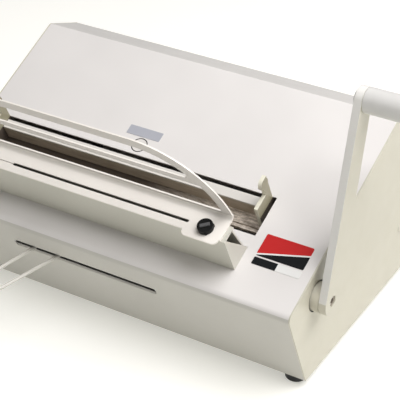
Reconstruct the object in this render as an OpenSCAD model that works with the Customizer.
// Desktop channel binding machine: a wedge-shaped sheet metal housing with a
// long clamp in its sloping top, a hand lever on the right-hand end, a
// book rest in front of the clamp and a wire support that swings out of a slot.
// Units are millimetres.
//
// Two local frames are used.
//   housing frame: X across from the middle of the housing, Y back from the
//     front bottom edge, Z up from the housing's bottom edge.
//   slope frame: X as above, Y up along the sloping top from the front bend,
//     Z square out of the slope. Heights below the top are negative.

/* [Housing] */
// Width of the housing over both side panels
housing_w = 420; // [400:5:460]
// Height of the front bend above the housing's bottom edge
front_h = 97; // [90:1:110]
// How far the front bend stands forward of the bottom edge
front_lean = 38; // [30:1:45]
// Angle of the sloping top above the horizontal
slope_deg = 23.4; // [20:0.2:26]
// Length of the sloping top from the front bend to the ridge
slope_len = 245; // [235:5:270]
// Angle of the rear strip below the horizontal
ridge_drop_deg = 21.8; // [15:0.2:25]
// Length of the rear strip behind the ridge
ridge_strip_len = 53.7; // [45:1:60]
// Thickness of the housing sheet
sheet_t = 1.5; // [1:0.1:2]
// Outer radius of the front bend
front_bend_r = 7; // [4:0.5:9]
// Outer radius of the bends at the ridge and the rear edge
ridge_bend_r = 4; // [3:0.5:6]
// Depth of the cover's turned-down flange at the back
rear_flange = 14; // [10:1:20]
// Thickness of the base plate
base_t = 2; // [1.5:0.5:3]
// Gap between neighbouring housing sheets
seam_gap = 0.3; // [0.2:0.1:0.5]

/* [Feet] */
// Diameter of a rubber foot
foot_d = 22; // [18:1:22]
// Height of a rubber foot
foot_h = 8.5; // [6:0.5:10]
// Distance of a foot's centre from the side
foot_side = 16; // [14:1:40]
// Distance of a foot's centre from the front and back edges
foot_edge = 11.5; // [11.5:0.5:30]

/* [Clamp] */
// Length of the channels that the clamp takes
channel_len = 304; // [290:1:320]
// Lengthwise play of a channel between the end plates
channel_play = 6; // [2:1:8]
// Distance between the left side of the housing and the clamp's frame
frame_margin = 8; // [6:1:12]
// Length of the opening in the cover
trough_len = 327; // [326:1:333]
// Front edge of the opening, along the slope
trough_front = 72; // [70:1:75]
// Rear edge of the opening, along the slope
trough_rear = 118; // [117.8:0.2:121]
// Depth of the channel bed below the slope
bed_depth = 17; // [15:0.5:18]
// Thickness of the bed plate
bed_t = 5; // [4:0.5:5.5]
// Front edge of the bed plate, along the slope
bed_front = 85.5; // [84:0.5:86]
// Rear edge of the bed plate, along the slope
bed_rear = 118; // [117:0.5:119]
// Working face of the rear jaw, along the slope
rear_face = 103; // [101:0.5:104]
// Thickness of the rear jaw along the slope
rear_jaw_t = 10.4; // [9.6:0.2:11.4]
// Thickness of the painted cap on the rear jaw
cap_t = 2; // [1.5:0.5:3]

/* [Moving jaw] */
// Working face of the moving jaw at rest, along the slope
jaw_face = 70.5; // [69:0.5:71]
// Thickness of the moving jaw along the slope
jaw_t = 18; // [16:0.5:18.5]
// Running gap above and below the moving jaw
jaw_gap = 0.5; // [0.4:0.1:0.8]
// How far the moving jaw closes
jaw_travel = 20; // [16:1:20]
// Diameter of the guide rods
rod_d = 8; // [7:0.5:9]
// Radial running clearance of rods, shaft and pins
fit_gap = 0.05; // [0.03:0.01:0.09]
// Distance of each guide rod from the clamp's middle
rod_x = 118; // [114:1:120]
// Distance of the guide rods below the slope
rod_depth = 44; // [43:0.5:46]

/* [Cams and shaft] */
// Place of the shaft's axis along the slope
shaft_s = 47.7; // [47:0.1:48]
// Depth of the shaft's axis below the slope
shaft_depth = 29; // [28.8:0.1:29.4]
// Diameter of the shaft
shaft_d = 16; // [14:0.5:16]
// Smallest radius of a cam
cam_r = 11.5; // [11:0.1:11.8]
// Thickness of a cam
cam_t = 6; // [5:0.5:7]
// Distance of each cam from the clamp's middle
cam_x = 138; // [137:1:140]
// Diameter of the follower pins
follower_d = 9; // [7:0.5:9]
// Turn of the lever from rest to fully closed
lever_turn = 85; // [70:1:90]

/* [Lever] */
// Distance from the shaft to the grip
lever_len = 192.5; // [170:0.5:220]
// Lean of the lever behind the vertical at rest
lever_lean = 15.7; // [10:0.1:20]
// Radius of the lever's hub end
lever_hub_r = 14.5; // [13:0.5:16]
// Thickness of the lever arm
lever_t = 8; // [6:0.5:10]
// Gap between the side panel and the lever arm
lever_off = 8.5; // [6:0.5:12]
// Diameter of the grip
grip_d = 24; // [20:1:28]
// Length of the grip
grip_len = 112; // [100:1:125]
// Radial gap between the hub and the hole in the side panel
hub_gap = 1; // [0.6:0.1:1.5]

/* [Front block and book rest] */
// Front face of the block, along the slope
block_front = 31; // [30:0.5:33]
// Height of the block above the slope
block_h = 45; // [40:1:48]
// Foot of the block's end cheeks, along the slope
block_back = 58; // [54:1:60]
// Depth of the block's top flange
block_top = 18; // [16:1:20]
// Distance of the book rest's ends from the block's ends
rest_inset = 4; // [3:0.5:6]
// Standing face of the book rest, along the slope
rest_back = 58.5; // [57:0.5:60]
// Height of the book rest above the slope
rest_h = 126; // [115:1:135]
// Outer radius of the book rest's shoulders
rest_arc = 92; // [88:1:100]
// Width of the book rest's rim
rest_rim = 10; // [8:0.5:12]
// Height of the middle rail's lower edge above the slope
rail_low = 84; // [78:1:88]
// Width of the middle rail
rail_w = 6.5; // [5:0.5:8]
// Radius of the bend between plate and back rest
rest_bend_r = 6; // [4:0.5:8]
// How far the tab stands out in front of the block
tab_out = 6; // [4:0.5:8]
// Width of the tab
tab_w = 38; // [34:1:42]
// Width of the narrow slot in the plate
plate_slot_w = 3.1; // [2.1:0.2:3.5]

/* [Setting knob] */
// Diameter of the knob
knob_d = 15.4; // [14:0.2:18]
// Height of the knob above the plate
knob_h = 4.6; // [4:0.2:7]
// Distance of the knob from the clamp's middle
knob_x = 140; // [139:0.5:141]
// Place of the knob along the slope
knob_s = 38.6; // [38:0.2:39.4]
// Diameter of the knob's spindle
spindle_d = 6; // [5:0.5:7]

/* [Wire support] */
// Diameter of the wire
wire_d = 3.8; // [3:0.2:4]
// Reach of the wire loop from its pivot
wire_reach = 115; // [110:1:129]
// Distance between the legs at the pivot
wire_span = 30.6; // [28:0.1:32]
// Radius of the loop's outer end, to the wire's centre line
wire_end_r = 12.8; // [10:0.2:13.2]
// Swing of the loop to the left of straight ahead at rest
wire_yaw = 11.4; // [8:0.2:12]
// Pivot distance to the left of the clamp's middle
wire_pivot_side = 39.4; // [36:0.2:41]
// Pivot distance behind the front bottom edge
wire_pivot_y = 10; // [9:0.5:12]
// Length of the front slot
slot_len = 169; // [168:1:180]
// Height of the front slot, along the front face
slot_h = 9; // [7:0.5:9.5]
// Height of the slot's middle up the front face
slot_up = 70; // [69:0.5:71.5]

/* [Hidden] */

$fn = 64;
eps = 0.01;
big = 1000;

// Housing outline seen from the right: [y, z] of the corners
ridge_y = -front_lean + slope_len * cos(slope_deg);
ridge_z = front_h + slope_len * sin(slope_deg);
back_y = ridge_y + ridge_strip_len * cos(ridge_drop_deg);
back_z = ridge_z - ridge_strip_len * sin(ridge_drop_deg);
outline = [[0, 0], [back_y, 0], [back_y, back_z], [ridge_y, ridge_z], [-front_lean, front_h]];
outline_r = [0, 0, ridge_bend_r, ridge_bend_r, front_bend_r];
bend_steps = 10;
half_w = housing_w / 2;
cover_half = half_w - sheet_t;

// Clamp
jaw_half = (channel_len + channel_play) / 2;
end_plate_t = 4;
end_foot_t = 2;
end_foot = 12;
bed_step = [4, 1.5];
frame_half = jaw_half + end_plate_t + end_foot + 2;
frame_t = 4;
clamp_x = -half_w + frame_margin + frame_t + frame_half;
end_plate_top = 14;
end_plate_front = 91;
finger_s = 112;
finger_r = 6.4;
finger_h = 27.5;
finger_neck = 109;
finger_back = 117.5;
end_screw_ss = [end_plate_front + end_foot / 2, finger_back - end_foot / 2];
function end_screw_x(side) = clamp_x + side * (jaw_half + end_plate_t + end_foot / 2);
frame_foot = 16;
frame_foot_t = 3;
frame_front = 24;
frame_rear = 126;
frame_top = -4;
frame_screw_ys = [50, 78];
bed_screw_ss = [bed_front + 8, bed_rear - 10];
jaw_top = -sheet_t - jaw_gap - 1;
jaw_low = -bed_depth + jaw_gap;
jaw_bar_half = jaw_half - 4;
jaw_front = jaw_face - jaw_t;

shaft_out = -shaft_depth;
// Shaft in the housing frame
shaft_y = -front_lean + shaft_s * cos(slope_deg) + shaft_depth * sin(slope_deg);
shaft_z = front_h + shaft_s * sin(slope_deg) - shaft_depth * cos(slope_deg);
rise_per_deg = jaw_travel / lever_turn;
cam_clear = 0.3;
cam_steps = 22;
cam_over = 3;
follower_r = follower_d / 2;
follower_s = shaft_s + cam_r + cam_clear + follower_r;
cheek_t = 4;
cheek_gap = 1;
web_front = shaft_s + shaft_d / 2 + 1;
web_t = 5.5;
ring_wall = 2;
running_gap = 0.8;
ring_low = shaft_out - follower_r - ring_wall;
ring_top = -bed_depth - bed_t - running_gap;
sleeve_r = rod_d / 2 + 4;
sleeve_len = 16;
bracket_t = 6;
bracket_reach = 12;
bracket_h = 14;
rod_front = frame_front + 1;
rod_rear = 112;
bush_wall = 3;
bush_flange_t = 1.5;
bush_out = 2;
key_w = 4;
key_depth = 2;
shaft_left = clamp_x - frame_half - frame_t - 3;
shaft_right = half_w + lever_off - 2;
spring_d = 2.4;
spring_r = 12;
spring_turns = 6;
spring_pitch = 3.2;
spring_x = clamp_x + frame_half + frame_t + 6;
spring_end_x = spring_x + spring_pitch * spring_turns;
spring_leg = 22;
spring_sides = 8;
spring_steps = 14;
spring_path = [
    each [for (k = [0 : spring_turns * spring_steps]) let (a = 360 * k / spring_steps)
        [spring_x + spring_pitch * k / spring_steps, spring_r * cos(a), spring_r * sin(a)]],
    [spring_end_x, spring_r, spring_leg / 3],
    [spring_end_x, spring_r, spring_leg]];
post_r = 4;
post_up = 18;

// Lever
hub_in = 6;
boss_r = lever_hub_r - 0.2;
hex_w = 6;
hex_depth = 2.5;
grip_wall = 12;
rivet_t = 2;
rivet_rim = 3;
screw_head_d = 10;
screw_head_t = 4;
screw_sink = 1;
screw_d = 6;
screw_reach = 14;
grip_r = grip_d / 2;
grip_spindle_d = 10;
grip_round = 4;

// Front block and book rest
block_half = trough_len / 2 - 0.5;
cheek_top = 2;
cheek_lift = 0.8;
back_wall_inset = 4.5;
rest_half = block_half - rest_inset;
rest_t = 1.5;
plate_top = block_h + rest_t;
arc_x = rest_half - sqrt(pow(rest_arc, 2) - pow(plate_top - (rest_h - rest_arc), 2));
arc_z = rest_h - rest_arc;
window_low = plate_top + rest_bend_r - rest_t + 1;
window_r = 4;
tab_right = rest_half - 2;
tab_corner = 5;
plate_slot_s = 40;
plate_slot_half = 121;
plate_slit_len = 40;
plate_slit_w = 0.8;
plate_slot_over = 2;

// Knob: [length, width, height] of its grip ridge, turn of the ridge and of its two side lugs
knob_ridge = [9.5, 3.4, 1.2];
knob_turn = 35;
lug_turns = [-62, knob_turn];
lug_r = 1.4;
knob_gap = 0.3;
knob_bore = knob_h * 0.7;

// Setting stop
stop_r = jaw_front - knob_s - 0.3;
stop_step = 2;
stop_t = 5;
stop_top = jaw_top - 2;
spindle_play = 2;
collar_d = 10;
collar_t = 1.2;
block_flange = 16;
block_screw_d = 4;
block_screw_s = block_front + 0.6 * block_flange;
block_screw_xs = [for (k = [-1 : 1]) clamp_x + k * block_half * 0.61];

// Wire support
wire_pivot_x = clamp_x - wire_pivot_side;
slot_z = slot_up * front_h / norm([front_lean, front_h]);
front_tilt = atan2(front_lean, front_h);
slot_x = clamp_x + 1;
wire_r = wire_d / 2;
wire_turn_s = wire_reach - wire_end_r - wire_r;
leg_slope = acos(wire_end_r / norm([wire_span / 2, wire_turn_s])) - atan2(wire_turn_s, wire_span / 2);
leg_len = (wire_turn_s - wire_end_r * sin(leg_slope)) / cos(leg_slope);
leg_lap = 0.4;
bar_t = 8;
bar_d = 14;
pin_d = 6;
bar_over = 5;
bar_bore_over = 5.2;
clip_t = 1.5;
clip_rim = 2.5;
pin_over = 1;
post_d = 12;

// Whole machine: its box sets the origin
box_right = half_w + lever_off + lever_t + grip_len;
screw_dome = 1.4;
box_left = -half_w - screw_dome;
box_front = wire_pivot_y - wire_turn_s * cos(wire_yaw) - wire_end_r - wire_r;
box_back = back_y + screw_dome;
origin_shift = [-(box_right + box_left) / 2, -(box_front + box_back) / 2, foot_h];

foot_chamfer = 1.5;

// Corner brackets
bracket_leg = 24;
bracket_side_leg = 44;
bracket_top = back_z - rear_flange - bracket_leg / 2;

// Screws: shank and head diameters
side_screw_d = 4;
side_head_d = 8;
side_screw_len = 8;
frame_screw_d = 5;
frame_head_d = 9;
bed_screw_d = 3;
bed_head_d = 5.5;
bed_screw_len = 12;
jaw_screw_len = 12;
screw_gap = 0.1;

// Plug in the cover behind the clamp
plug_s = 129.5;
plug_d = 16;
plug_hole_d = 17.2;
plug_rim_t = 1;
plug_rim_w = 1.5;

paint = "Gainsboro";
cream = "Beige";
steel = "Silver";
dark_steel = "DimGray";
raw_steel = "RosyBrown";

// ---------- frames ----------
module housing_frame() { translate(origin_shift) children(); }
module slope_frame() {
    housing_frame() translate([0, -front_lean, front_h]) rotate([slope_deg, 0, 0]) children();
}
// Draws a [y, z] outline upright and extrudes it from x0 to x1
module across(x0, x1) {
    translate([x0, 0, 0]) rotate([90, 0, 90]) linear_extrude(height = x1 - x0) children();
}
// A rod along X between x0 and x1
module rod_x(x0, x1, r) {
    translate([x0, 0, 0]) rotate([0, 90, 0]) cylinder(h = x1 - x0, r = r);
}
// A rod along Y between y0 and y1
module rod_y(y0, y1, r) {
    translate([0, y0, 0]) rotate([-90, 0, 0]) cylinder(h = y1 - y0, r = r);
}

// ---------- outlines ----------
function unit(v) = v / norm(v);
function on_circle(r, a) = r * [cos(a), sin(a)];
function turn_in(v) = [-v[1], v[0]];
function wrap(pts, i) = pts[(i + len(pts)) % len(pts)];
// Moves every side of a convex anticlockwise outline inwards by d
function inset(pts, d) = [for (i = [0 : len(pts) - 1])
    let (a = turn_in(unit(pts[i] - wrap(pts, i - 1))), b = turn_in(unit(wrap(pts, i + 1) - pts[i])))
    pts[i] + d * (a + b) / (1 + a * b)];
// The two tangent points of a rounded corner
function tangents(pts, i, r) =
    let (a = unit(wrap(pts, i - 1) - pts[i]), b = unit(wrap(pts, i + 1) - pts[i]),
         half = acos(a * b) / 2, reach = r / tan(half))
    [pts[i] + a * reach, pts[i] + b * reach];
function round_centre(pts, i, r) =
    let (a = unit(wrap(pts, i - 1) - pts[i]), b = unit(wrap(pts, i + 1) - pts[i]), half = acos(a * b) / 2)
    pts[i] + unit(a + b) * r / sin(half);
// A corner's rounding as points, from one tangent point to the other
function corner(pts, i, r) = r <= 0 ? [pts[i]] :
    let (c = round_centre(pts, i, r), ends = tangents(pts, i, r) - [c, c],
         a0 = atan2(ends[0][1], ends[0][0]), a1 = atan2(ends[1][1], ends[1][0]),
         turn = a1 < a0 ? a1 - a0 + 360 : a1 - a0)
    [for (k = [0 : bend_steps]) c + on_circle(r, a0 + turn * k / bend_steps)];
module rounded(pts, radii) polygon([for (i = [0 : len(pts) - 1]) each corner(pts, i, radii[i])]);
// Outer wall of the housing as a closed sheet
module wall_ring() {
    difference() {
        rounded(outline, outline_r);
        rounded(inset(outline, sheet_t), [for (r = outline_r) max(0, r - sheet_t)]);
    }
}
// Two circles joined by their outer tangents, the first at the origin and the second up the Y axis
module tapered_bar(length, r1, r2) {
    lean = asin((r1 - r2) / length);
    p = [cos(lean), sin(lean)];
    polygon([[r1 * p[0], r1 * p[1]], [r2 * p[0], length + r2 * p[1]],
        [-r2 * p[0], length + r2 * p[1]], [-r1 * p[0], r1 * p[1]]]);
    circle(r = r1);
    translate([0, length]) circle(r = r2);
}
module slot_shape(length, width) {
    square([length - width, width], center = true);
    for (side = [-1, 1]) translate([side * (length - width) / 2, 0]) circle(d = width);
}
// A pan-head screw along -Z with its head's seat at z = 0
module pan_screw(shank_d, shank_len, head_d, head_t = screw_dome) {
    cylinder(h = head_t, d1 = head_d, d2 = head_d * 0.7);
    translate([0, 0, -shank_len]) cylinder(h = shank_len + eps, d = shank_d);
}

// A clearance hole for a screw, along Z through z = 0
module drill(d, depth = 2 * foot_h) { cylinder(h = depth, d = d + 2 * screw_gap, center = true); }

// ---------- places that repeat ----------
foot_places = [for (x = [-1, 1], y = [foot_edge, back_y - foot_edge]) [x * (half_w - foot_side), y]];
side_screw_places = [for (z = [0.315, 0.745]) [back_y - 0.77 * bracket_side_leg, z * back_z]];
back_screw_places = [for (x = [-1, 1], z = [0.17, 0.745]) [x * (half_w - bracket_leg / 2), z * back_z]];
post_place = [wire_pivot_x, wire_pivot_y];
frame_screw_places = [for (side = [-1, 1], y = frame_screw_ys)
    [clamp_x + side * (frame_half - frame_foot / 2), y]];

// ---------- housing ----------
module top_cover() color(paint) difference() {
    housing_frame() difference() {
        across(-cover_half, cover_half) difference() {
            wall_ring();
            translate([sheet_t + eps, -eps]) square([back_y + 2 * eps, sheet_t + base_t]);
            translate([back_y - 2 * sheet_t, -eps]) square([3 * sheet_t, back_z - rear_flange]);
        }
        translate([slot_x, -front_lean * slot_z / front_h, slot_z])
            rotate([90 - front_tilt, 0, 0])
            linear_extrude(height = 4 * sheet_t, center = true) slot_shape(slot_len, slot_h);
    }
    slope_frame() {
        translate([clamp_x - trough_len / 2, trough_front, -bed_depth])
            cube([trough_len, trough_rear - trough_front, 2 * bed_depth]);
        translate([clamp_x, plug_s, 0]) cylinder(h = 4 * sheet_t, d = plug_hole_d, center = true);
        translate([clamp_x + knob_x, knob_s, 0]) drill(spindle_d + spindle_play);
        for (x = block_screw_xs) translate([x, block_screw_s, 0]) drill(block_screw_d);
    }
}
module side_panel(side) color(cream) difference() {
    housing_frame() across(side > 0 ? cover_half : -half_w, side > 0 ? half_w : -cover_half)
        rounded(outline, outline_r);
    housing_frame() for (p = side_screw_places)
        translate([0, p[0], p[1]])
            rod_x(side > 0 ? 0 : -big, side > 0 ? big : 0, side_screw_d / 2 + screw_gap);
    if (side > 0) housing_frame() translate([0, shaft_y, shaft_z])
        rod_x(0, big, lever_hub_r + hub_gap);
}
module side_panel_left() side_panel(-1);
module side_panel_right() side_panel(1);

module back_panel() color(paint) housing_frame() difference() {
    translate([-cover_half + seam_gap, back_y - sheet_t, seam_gap])
        cube([2 * (cover_half - seam_gap), sheet_t, back_z - rear_flange - 2 * seam_gap]);
    for (p = back_screw_places) translate([p[0], 0, p[1]]) rod_y(0, big, side_screw_d / 2 + screw_gap);
}
module base_plate() color(steel) housing_frame() difference() {
    translate([-cover_half + seam_gap, 2 * sheet_t, 0])
        cube([2 * (cover_half - seam_gap), back_y - 3 * sheet_t - seam_gap, base_t]);
    for (p = concat(foot_places, [post_place])) translate(p) drill(side_screw_d);
    for (p = frame_screw_places) translate(p) drill(frame_screw_d);
}
module rubber_feet() color("DimGray") housing_frame() for (p = foot_places)
    translate([p[0], p[1], -foot_h]) difference() {
        rotate_extrude() polygon([[0, 0], [foot_d / 2 - foot_chamfer, 0], [foot_d / 2, foot_chamfer],
            [foot_d / 2, foot_h], [0, foot_h]]);
        drill(side_screw_d, 3 * foot_h);
        cylinder(h = foot_h, d = side_head_d + 2, center = true);
    }
module foot_screws() color(dark_steel) housing_frame() for (p = foot_places)
    translate([p[0], p[1], -foot_h / 2]) rotate([180, 0, 0])
        pan_screw(side_screw_d, foot_h / 2 + base_t + 3, side_head_d);

module cover_plug() color(paint) slope_frame() translate([clamp_x, plug_s, -sheet_t - plug_rim_t - eps]) {
    cylinder(h = plug_rim_t, d = plug_hole_d + 2 * plug_rim_w);
    cylinder(h = plug_rim_t + sheet_t, d = plug_d);
}

// Angle brackets in the back corners carry the back and side screws
module corner_brackets() color(steel) housing_frame() for (side = [-1, 1]) mirror([side > 0 ? 0 : 1, 0, 0])
    difference() {
        union() {
            translate([cover_half - bracket_leg, back_y - 2 * sheet_t, base_t])
                cube([bracket_leg, sheet_t, bracket_top - base_t]);
            translate([cover_half - sheet_t, back_y - 2 * sheet_t - bracket_side_leg, base_t])
                cube([sheet_t, bracket_side_leg + sheet_t, bracket_top - base_t]);
        }
        for (p = side_screw_places)
            translate([0, p[0], p[1]]) rod_x(0, half_w, side_screw_d / 2 + screw_gap);
        for (p = back_screw_places) if (p[0] > 0)
            translate([p[0], 0, p[1]]) rod_y(0, back_y, side_screw_d / 2 + screw_gap);
    }
module side_screws() color(dark_steel) housing_frame() for (side = [-1, 1], p = side_screw_places)
    translate([side * half_w, p[0], p[1]]) rotate([0, side * 90, 0])
        pan_screw(side_screw_d, side_screw_len, side_head_d);
module back_screws() color(dark_steel) housing_frame() for (p = back_screw_places)
    translate([p[0], back_y, p[1]]) rotate([-90, 0, 0])
        pan_screw(side_screw_d, side_screw_len, side_head_d);

// ---------- clamp frame ----------
// Side plates stand on the base and carry the bed, the rod brackets and the shaft
module frame_plate(side) color(steel) difference() {
    x_in = clamp_x + side * frame_half;
    x_out = x_in + side * frame_t;
    x_foot = x_in - side * frame_foot;
    housing_frame() union() {
        across(min(x_in, x_out), max(x_in, x_out)) intersection() {
            translate([-front_lean, front_h]) rotate(slope_deg)
                translate([frame_front, -big]) square([frame_rear - frame_front, big + frame_top]);
            translate([-big, base_t]) square([2 * big, big]);
        }
        translate([min(x_in, x_foot), frame_screw_ys[0] - frame_foot, base_t])
            cube([frame_foot, frame_screw_ys[1] - frame_screw_ys[0] + 2 * frame_foot, frame_foot_t]);
    }
    housing_frame() {
        translate([0, shaft_y, shaft_z])
            rod_x(x_in - frame_foot, x_in + frame_foot, shaft_d / 2 + bush_wall);
        for (p = frame_screw_places) translate(p) drill(frame_screw_d);
    }
    slope_frame() for (s = bed_screw_ss) translate([0, s, -bed_depth - bed_t / 2])
        rod_x(x_in - frame_foot, x_in + frame_foot, bed_screw_d / 2 + screw_gap);
}
module frame_plate_left() frame_plate(-1);
module frame_plate_right() frame_plate(1);
module frame_screws() color(dark_steel) housing_frame() for (p = frame_screw_places)
    translate([p[0], p[1], base_t + frame_foot_t])
        pan_screw(frame_screw_d, frame_foot_t + base_t, frame_head_d);

module bed_plate() color(raw_steel) slope_frame() difference() {
    translate([clamp_x - frame_half, bed_front, -bed_depth - bed_t])
        cube([2 * frame_half, bed_rear - bed_front, bed_t]);
    translate([clamp_x - big, bed_front - eps, -bed_depth - bed_step[1]])
        cube([2 * big, bed_step[0] + eps, bed_t]);
    for (side = [-1, 1], s = bed_screw_ss)
        translate([clamp_x + side * frame_half, s, -bed_depth - bed_t / 2])
            rod_x(-bed_screw_len, bed_screw_len, bed_screw_d / 2 + screw_gap);
    for (side = [-1, 1], s = end_screw_ss) translate([end_screw_x(side), s, -bed_depth])
        drill(bed_screw_d, 4 * bed_t);
    for (x = jaw_screw_xs)
        translate([x, rear_face + rear_jaw_t / 2, -bed_depth]) drill(side_screw_d, 4 * bed_t);
}
jaw_screw_xs = [for (k = [-3 : 2 : 3]) clamp_x + k * jaw_half / 3.5];
// Screws through the side plates into the bed's ends, and up through the bed into the rear jaw
module bed_screws() color(dark_steel) slope_frame() {
    for (side = [-1, 1], s = bed_screw_ss)
        translate([clamp_x + side * (frame_half + frame_t), s, -bed_depth - bed_t / 2])
            rotate([0, side * 90, 0]) pan_screw(bed_screw_d, bed_screw_len, bed_head_d);
    for (x = jaw_screw_xs) translate([x, rear_face + rear_jaw_t / 2, -bed_depth - bed_t])
        rotate([180, 0, 0]) pan_screw(side_screw_d, bed_t + jaw_screw_len - 1, side_head_d);
}
module rear_jaw() color(raw_steel) slope_frame() difference() {
    translate([clamp_x - jaw_half + seam_gap, rear_face, -bed_depth])
        cube([2 * (jaw_half - seam_gap), rear_jaw_t, bed_depth - cap_t]);
    for (x = jaw_screw_xs) translate([x, rear_face + rear_jaw_t / 2, -bed_depth])
        drill(side_screw_d, 2 * jaw_screw_len);
}
module rear_jaw_cap() color(paint) slope_frame()
    translate([clamp_x - jaw_half + seam_gap, rear_face, -cap_t])
        cube([2 * (jaw_half - seam_gap), rear_jaw_t, cap_t]);

// End stop: a plate with a guide finger behind and a foot screwed to the bed
module end_plate(side) color(steel) slope_frame() {
    x_in = clamp_x + side * jaw_half;
    x_out = x_in + side * end_plate_t;
    across(min(x_in, x_out), max(x_in, x_out)) {
        translate([end_plate_front, -bed_depth])
            square([finger_back - end_plate_front, bed_depth + end_plate_top]);
        translate([finger_neck, 0]) square([finger_back - finger_neck, finger_h]);
        translate([finger_s, 0]) square([finger_back - finger_s, finger_h + finger_r]);
        translate([finger_s, finger_h]) circle(r = finger_r);
    }
    difference() {
        translate([min(x_out, x_out + side * end_foot), end_plate_front, -bed_depth])
            cube([end_foot, finger_back - end_plate_front, end_foot_t]);
        for (s = end_screw_ss) translate([end_screw_x(side), s, -bed_depth]) drill(bed_screw_d);
    }
}
module end_plate_left() end_plate(-1);
module end_plate_right() end_plate(1);
module end_plate_screws() color(dark_steel) slope_frame() for (side = [-1, 1], s = end_screw_ss)
    translate([end_screw_x(side), s, -bed_depth + end_foot_t])
        pan_screw(bed_screw_d, end_foot_t + bed_t, bed_head_d);

// ---------- moving jaw ----------
module cheek_outline() {
    translate([web_front, ring_low]) square([web_t, jaw_low + eps - ring_low]);
    translate([web_front, ring_low])
        square([follower_s + follower_r + ring_wall - web_front, ring_top - ring_low]);
}
function cheek_xs(side) = [clamp_x + side * cam_x - cam_t / 2 - cheek_gap - cheek_t,
    clamp_x + side * cam_x + cam_t / 2 + cheek_gap];
module front_jaw() color(steel) slope_frame() difference() {
    union() {
        translate([clamp_x - jaw_bar_half, jaw_front, jaw_low])
            cube([2 * jaw_bar_half, jaw_t, jaw_top - jaw_low]);
        for (side = [-1, 1]) {
            for (x = cheek_xs(side)) across(x, x + cheek_t) cheek_outline();
            translate([clamp_x + side * rod_x - sleeve_r, web_front, -rod_depth])
                cube([2 * sleeve_r, web_t, rod_depth + jaw_low + eps]);
            translate([clamp_x + side * rod_x, 0, -rod_depth])
                rod_y(web_front, web_front + sleeve_len, sleeve_r);
        }
    }
    for (side = [-1, 1]) {
        translate([clamp_x + side * rod_x, 0, -rod_depth]) rod_y(0, big, rod_d / 2 + fit_gap);
        translate([clamp_x + side * cam_x, follower_s, shaft_out])
            rod_x(-2 * cheek_t - cam_t, 2 * cheek_t + cam_t, follower_r + fit_gap);
    }
}
module follower_pins() color(steel) slope_frame() for (side = [-1, 1])
    translate([0, follower_s, shaft_out])
        rod_x(cheek_xs(side)[0] - cheek_gap, cheek_xs(side)[1] + cheek_t + cheek_gap, follower_r);

module guide_rods() color(steel) slope_frame() for (side = [-1, 1])
    translate([clamp_x + side * rod_x, 0, -rod_depth]) rod_y(rod_front, rod_rear + bracket_t, rod_d / 2);
module rod_brackets() color(dark_steel) slope_frame() for (side = [-1, 1], s = [rod_front, rod_rear]) {
    x_wall = clamp_x + side * frame_half;
    x_end = clamp_x + side * (rod_x - bracket_reach);
    difference() {
        translate([min(x_wall, x_end), s, -rod_depth - bracket_h / 2])
            cube([abs(x_wall - x_end), bracket_t, bracket_h]);
        translate([clamp_x + side * rod_x, 0, -rod_depth]) rod_y(0, big, rod_d / 2 + fit_gap);
    }
}

// ---------- shaft, cams and spring ----------
// A point of the cam's working edge when the lever has turned by a degrees
function cam_point(a) =
    let (rho = follower_s - shaft_s + rise_per_deg * a, slope = rise_per_deg * 180 / PI,
         out = unit([rho * cos(a) + slope * sin(a), slope * cos(a) - rho * sin(a)]))
    rho * [cos(a), -sin(a)] - (follower_r + cam_clear) * out;
module cam_outline() difference() {
    nose = cam_point(lever_turn + cam_over);
    heel = cam_point(0);
    flank_a = atan2(nose[1], nose[0]) - acos(cam_r / norm(nose));
    heel_a = atan2(heel[1], heel[0]) - 360;
    polygon([for (k = [0 : cam_steps]) cam_point(k * (lever_turn + cam_over) / cam_steps),
        for (k = [0 : cam_steps]) on_circle(cam_r, flank_a + (heel_a - flank_a) * k / cam_steps)]);
    circle(r = shaft_d / 2 + fit_gap);
    translate([-shaft_d / 2 - key_depth - screw_gap, -key_w / 2 - screw_gap])
        square([shaft_d / 2, key_w + 2 * screw_gap]);
}
module cam(side) color("DarkGray") slope_frame() translate([0, shaft_s, shaft_out])
    across(clamp_x + side * cam_x - cam_t / 2, clamp_x + side * cam_x + cam_t / 2) cam_outline();
module cam_left() cam(-1);
module cam_right() cam(1);
module cam_keys() color(dark_steel) slope_frame() for (side = [-1, 1])
    translate([clamp_x + side * cam_x - cam_t / 2, shaft_s - shaft_d / 2 - key_depth, shaft_out - key_w / 2])
        cube([cam_t, 2 * key_depth, key_w]);
module main_shaft() color(steel) slope_frame() translate([0, shaft_s, shaft_out]) difference() {
    rod_x(shaft_left, shaft_right, shaft_d / 2);
    for (side = [-1, 1])
        translate([clamp_x + side * cam_x - cam_t / 2 - screw_gap,
            -shaft_d / 2 - key_depth, -key_w / 2 - screw_gap])
            cube([cam_t + 2 * screw_gap, 2 * key_depth + screw_gap, key_w + 2 * screw_gap]);
    rod_x(shaft_right - screw_reach, big, screw_d / 2 + screw_gap);
}
module shaft_bushes() color("DarkGoldenrod") slope_frame() translate([0, shaft_s, shaft_out])
    for (side = [-1, 1]) {
        x_in = clamp_x + side * frame_half;
        x_far = x_in + side * (frame_t + bush_out);
        x_flange = x_in - side * bush_flange_t;
        difference() {
            union() {
                rod_x(min(x_in, x_far), max(x_in, x_far), shaft_d / 2 + bush_wall - screw_gap / 2);
                rod_x(min(x_in, x_flange), max(x_in, x_flange), shaft_d / 2 + bush_wall + bush_out);
            }
            rod_x(x_in - frame_foot, x_in + frame_foot, shaft_d / 2 + fit_gap);
        }
    }

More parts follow.
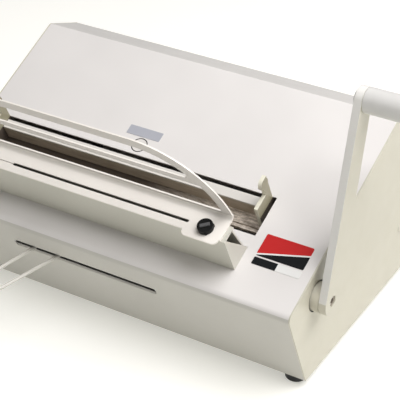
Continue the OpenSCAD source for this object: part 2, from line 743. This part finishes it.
// Torsion spring round the shaft, swept along a helix with a straight leg to the post
module return_spring() color(dark_steel) slope_frame() translate([0, shaft_s, shaft_out])
    sweep(spring_path, spring_d / 2, spring_sides);
function path_dir(p, i) = unit(p[min(i + 1, len(p) - 1)] - p[max(i - 1, 0)]);
module sweep(path, r, sides) {
    n = len(path);
    rings = [for (i = [0 : n - 1])
        let (d = path_dir(path, i), u = unit(cross(d, [1, 0.3, 0])), v = cross(d, u))
        for (k = [0 : sides - 1]) path[i] + r * (cos(360 * k / sides) * u + sin(360 * k / sides) * v)];
    walls = [for (i = [0 : n - 2], k = [0 : sides - 1]) let (m = (k + 1) % sides)
        [i * sides + k, (i + 1) * sides + k, (i + 1) * sides + m, i * sides + m]];
    first = [for (k = [0 : sides - 1]) k];
    last = [for (k = [sides - 1 : -1 : 0]) (n - 1) * sides + k];
    polyhedron(points = rings, faces = concat(walls, [first, last]), convexity = 10);
}
module spring_post() color(steel) slope_frame()
    translate([0, shaft_s + spring_r + spring_d / 2 + post_r + seam_gap, shaft_out + post_up])
        rod_x(clamp_x + frame_half + frame_t, spring_end_x + post_r, post_r);

// ---------- lever ----------
module at_lever() housing_frame() translate([0, shaft_y, shaft_z]) children();
module lever_arm() color(cream) at_lever() difference() {
    union() {
        rotate([-lever_lean, 0, 0]) across(half_w + lever_off, half_w + lever_off + lever_t)
            tapered_bar(lever_len, lever_hub_r, grip_r);
        rod_x(half_w - hub_in, half_w + lever_off + screw_sink, boss_r);
    }
    rod_x(0, shaft_right + seam_gap, shaft_d / 2 + fit_gap);
    rod_x(0, big, screw_d / 2 + screw_gap);
    rod_x(half_w + lever_off + lever_t - screw_head_t - screw_sink, big, screw_head_d / 2 + screw_gap);
    rotate([-lever_lean, 0, 0]) translate([0, 0, lever_len]) rod_x(0, big, grip_spindle_d / 2 + fit_gap);
}
module hub_screw() color(dark_steel) at_lever() difference() {
    x_head = half_w + lever_off + lever_t - screw_sink;
    union() {
        rod_x(x_head - screw_head_t, x_head, screw_head_d / 2);
        rod_x(shaft_right - screw_reach + 2, x_head - screw_head_t / 2, screw_d / 2);
    }
    translate([x_head - hex_depth, 0, 0]) rotate([0, 90, 0]) cylinder(h = screw_head_t, d = hex_w, $fn = 6);
}
module grip_spindle() color(steel) at_lever() rotate([-lever_lean, 0, 0]) translate([0, 0, lever_len]) {
    rod_x(half_w + lever_off - rivet_t, half_w + lever_off + lever_t + grip_len - grip_wall,
        grip_spindle_d / 2);
    rod_x(half_w + lever_off - rivet_t, half_w + lever_off, grip_spindle_d / 2 + rivet_rim);
}
module lever_grip() color("WhiteSmoke") at_lever() rotate([-lever_lean, 0, 0]) translate([0, 0, lever_len])
    translate([half_w + lever_off + lever_t, 0, 0]) rotate([0, 90, 0]) difference() {
        rotate_extrude() {
            square([grip_r, grip_len - grip_round]);
            square([grip_r - grip_round, grip_len]);
            translate([grip_r - grip_round, grip_len - grip_round]) intersection() {
                circle(r = grip_round);
                square(grip_round + eps);
            }
        }
        translate([0, 0, -grip_wall])
            cylinder(h = grip_len + seam_gap, d = grip_spindle_d + 2 * fit_gap);
    }

// ---------- front block and book rest ----------
module front_block() color(cream) slope_frame() difference() {
    union() {
        across(clamp_x - block_half, clamp_x + block_half) {
            translate([block_front, 0]) square([sheet_t, block_h]);
            translate([block_front, block_h - sheet_t]) square([block_top, sheet_t]);
            translate([block_front, 0]) square([block_flange, sheet_t]);
        }
        across(clamp_x - block_half + back_wall_inset, clamp_x + block_half - back_wall_inset)
            polygon([[block_front + block_top - sheet_t, block_h], [block_front + block_top, block_h],
                [block_back, 0], [block_back - sheet_t, 0]]);
        for (x = [clamp_x - block_half, clamp_x + block_half - sheet_t]) across(x, x + sheet_t)
            polygon([[block_front, cheek_lift], [block_front, block_h],
                [block_front + cheek_top, block_h], [block_back, cheek_lift]]);
    }
    translate([clamp_x + knob_x, knob_s, 0]) drill(spindle_d + spindle_play, 3 * block_h);
    for (x = block_screw_xs) translate([x, block_screw_s, 0]) drill(block_screw_d);
    plate_slots(plate_slot_over, plate_slot_over);
}
module block_screws() color(dark_steel) slope_frame() for (x = block_screw_xs)
    translate([x, block_screw_s, -sheet_t]) rotate([180, 0, 0])
        pan_screw(block_screw_d, 2 * sheet_t + 1, side_head_d);

// Outline of the back rest, [x from the clamp's middle, height above the slope], set in by d
module rest_outline(d) intersection() {
    union() for (side = [-1, 1]) {
        translate([side * arc_x, arc_z]) circle(r = rest_arc - d);
        translate([side > 0 ? 0 : -arc_x, 0]) square([arc_x, rest_h - d]);
    }
    translate([-big, block_h]) square([2 * big, big]);
}
module rest_windows() {
    rail_top = rail_low + rail_w;
    tip_x = arc_x + sqrt(pow(rest_arc - rest_rim - window_r, 2) - pow(rail_top + window_r - arc_z, 2));
    tip = [tip_x, rail_top + window_r];
    reach = (tip - [arc_x, arc_z]) * (rest_arc - rest_rim) / (rest_arc - rest_rim - window_r);
    difference() {
        rest_outline(rest_rim);
        translate([-big, 0]) square([2 * big, rail_top]);
        for (side = [-1, 1]) mirror([side > 0 ? 0 : 1, 0]) polygon([[tip_x, rail_low], [tip_x, rail_top],
            [arc_x + reach[0], arc_z + reach[1]], [arc_x + rest_arc, arc_z + reach[1]],
            [arc_x + rest_arc, rail_low]]);
    }
    for (side = [-1, 1]) translate([side * tip[0], tip[1]]) circle(r = window_r);
    intersection() {
        rest_outline(rest_rim);
        translate([-big, window_low]) square([2 * big, rail_low - window_low]);
    }
}
module book_rest() color(paint) slope_frame() difference() {
    union() {
        translate([clamp_x - rest_half, block_front, block_h])
            cube([2 * rest_half, rest_back - rest_bend_r - block_front, rest_t]);
        across(clamp_x - rest_half, clamp_x + rest_half)
            translate([rest_back - rest_bend_r, block_h + rest_bend_r]) intersection() {
                difference() {
                    circle(r = rest_bend_r);
                    circle(r = rest_bend_r - rest_t);
                }
                translate([0, -rest_bend_r]) square(rest_bend_r);
            }
        translate([clamp_x, rest_back, 0]) rotate([90, 0, 0]) linear_extrude(height = rest_t)
            intersection() {
                rest_outline(0);
                translate([-rest_half, block_h + rest_bend_r - eps]) square([2 * rest_half, big]);
            }
        translate([clamp_x + tab_right, block_front - tab_out, block_h]) tab_plate();
    }
    translate([clamp_x, rest_back + rest_t, 0]) rotate([90, 0, 0])
        linear_extrude(height = 3 * rest_t) rest_windows();
    translate([clamp_x + knob_x, knob_s, block_h])
        cylinder(h = 3 * rest_t, d = spindle_d + 2 * fit_gap, center = true);
    plate_slots();
}
// The plate's long slot and the fine slit that leads into it, widened by the margins given
module plate_slots(slot_over = 0, slit_over = 0) translate([clamp_x, plate_slot_s, block_h]) {
    translate([plate_slit_len / 2, 0, 0]) linear_extrude(height = 4 * rest_t, center = true)
        slot_shape(2 * plate_slot_half - plate_slit_len + slot_over, plate_slot_w + slot_over);
    translate([-plate_slot_half + plate_slit_len / 2, 0, 0])
        cube([plate_slit_len + 2 * plate_slot_w, plate_slit_w + slit_over, 4 * rest_t], center = true);
}
// The tab's plate, with its right-hand edge on x = 0
module tab_plate() linear_extrude(height = rest_t) translate([-tab_w, 0]) {
    translate([0, tab_corner]) square([tab_w, tab_out]);
    translate([tab_corner, 0]) square([tab_w - 2 * tab_corner, tab_out]);
    for (x = [tab_corner, tab_w - tab_corner]) translate([x, tab_corner]) circle(r = tab_corner);
}

// ---------- setting knob ----------
module at_knob() slope_frame() translate([clamp_x + knob_x, knob_s, 0]) children();
module setting_knob() color("Black") at_knob() translate([0, 0, plate_top + knob_gap]) difference() {
    union() {
        cylinder(h = knob_h, d = knob_d);
        for (a = lug_turns) rotate(a)
            translate([knob_d / 2 - lug_r / 2, 0, 0]) cylinder(h = knob_h * 0.6, r = lug_r);
        rotate(knob_turn) translate([-knob_ridge[0] / 2, -knob_ridge[1] / 2, knob_h - eps]) cube(knob_ridge);
    }
    cylinder(h = 2 * knob_bore, d = spindle_d + 2 * fit_gap, center = true);
}
// Spindle with a stepped stop: each quarter lets the jaw open a step wider
module stop_spindle() color(steel) at_knob() {
    translate([0, 0, stop_top - stop_t])
        cylinder(h = plate_top + knob_bore - stop_top + stop_t, d = spindle_d);
    translate([0, 0, stop_top - stop_t]) for (k = [0 : 3]) rotate(45 + 90 * k)
        linear_extrude(height = stop_t) intersection() {
            circle(r = stop_r - stop_step * k);
            square(2 * stop_r);
        }
    translate([0, 0, block_h - sheet_t - knob_gap - collar_t]) cylinder(h = collar_t, d = collar_d);
}

// ---------- wire support ----------
module at_wire() housing_frame() translate([wire_pivot_x, wire_pivot_y, slot_z]) children();
module wire_leg(side, r, from = 0) translate([side * wire_span / 2, 0, 0])
    rotate([0, 0, -side * leg_slope]) rod_y(-leg_len - leg_lap, from, r);
module wire_support() color(cream) at_wire() rotate([0, 0, -wire_yaw]) {
    for (side = [-1, 1]) wire_leg(side, wire_r - leg_lap / 4, bar_over);
    translate([0, -wire_turn_s, 0]) rotate([0, 0, 180 - leg_slope])
        rotate_extrude(angle = 180 + 2 * leg_slope) translate([wire_end_r, 0]) circle(r = wire_r, $fn = 24);
}
module wire_pivot_bar() color(steel) at_wire() rotate([0, 0, -wire_yaw]) difference() {
    translate([0, 0, -bar_t / 2]) linear_extrude(height = bar_t) slot_shape(wire_span + 2 * bar_over, bar_d);
    for (side = [-1, 1]) wire_leg(side, wire_r + fit_gap, bar_bore_over);
    cylinder(h = 2 * bar_t, d = pin_d + 2 * fit_gap, center = true);
}
module wire_pivot_post() color(steel) at_wire() difference() {
    union() {
        translate([0, 0, base_t - slot_z]) cylinder(h = slot_z - base_t - bar_t / 2 - seam_gap, d = post_d);
        translate([0, 0, -bar_t]) cylinder(h = 1.5 * bar_t + seam_gap + clip_t + pin_over, d = pin_d);
    }
    translate([0, 0, base_t - slot_z]) drill(side_screw_d, 5 * foot_h);
}
module pivot_clip() color(dark_steel) at_wire() translate([0, 0, bar_t / 2 + seam_gap]) difference() {
    cylinder(h = clip_t, d = pin_d + 2 * clip_rim);
    cylinder(h = 3 * clip_t, d = pin_d + 2 * fit_gap, center = true);
}
module post_screw() color(dark_steel) housing_frame() translate(post_place)
    rotate([180, 0, 0]) pan_screw(side_screw_d, base_t + 2 * foot_h, side_head_d);

top_cover();
side_panel_left();
side_panel_right();
back_panel();
base_plate();
rubber_feet();
foot_screws();
cover_plug();
corner_brackets();
side_screws();
back_screws();
frame_plate_left();
frame_plate_right();
frame_screws();
bed_plate();
bed_screws();
rear_jaw();
rear_jaw_cap();
end_plate_left();
end_plate_right();
end_plate_screws();
front_jaw();
follower_pins();
guide_rods();
rod_brackets();
main_shaft();
shaft_bushes();
cam_left();
cam_right();
cam_keys();
return_spring();
spring_post();
lever_arm();
hub_screw();
grip_spindle();
lever_grip();
front_block();
block_screws();
book_rest();
setting_knob();
stop_spindle();
wire_support();
wire_pivot_bar();
wire_pivot_post();
pivot_clip();
post_screw();
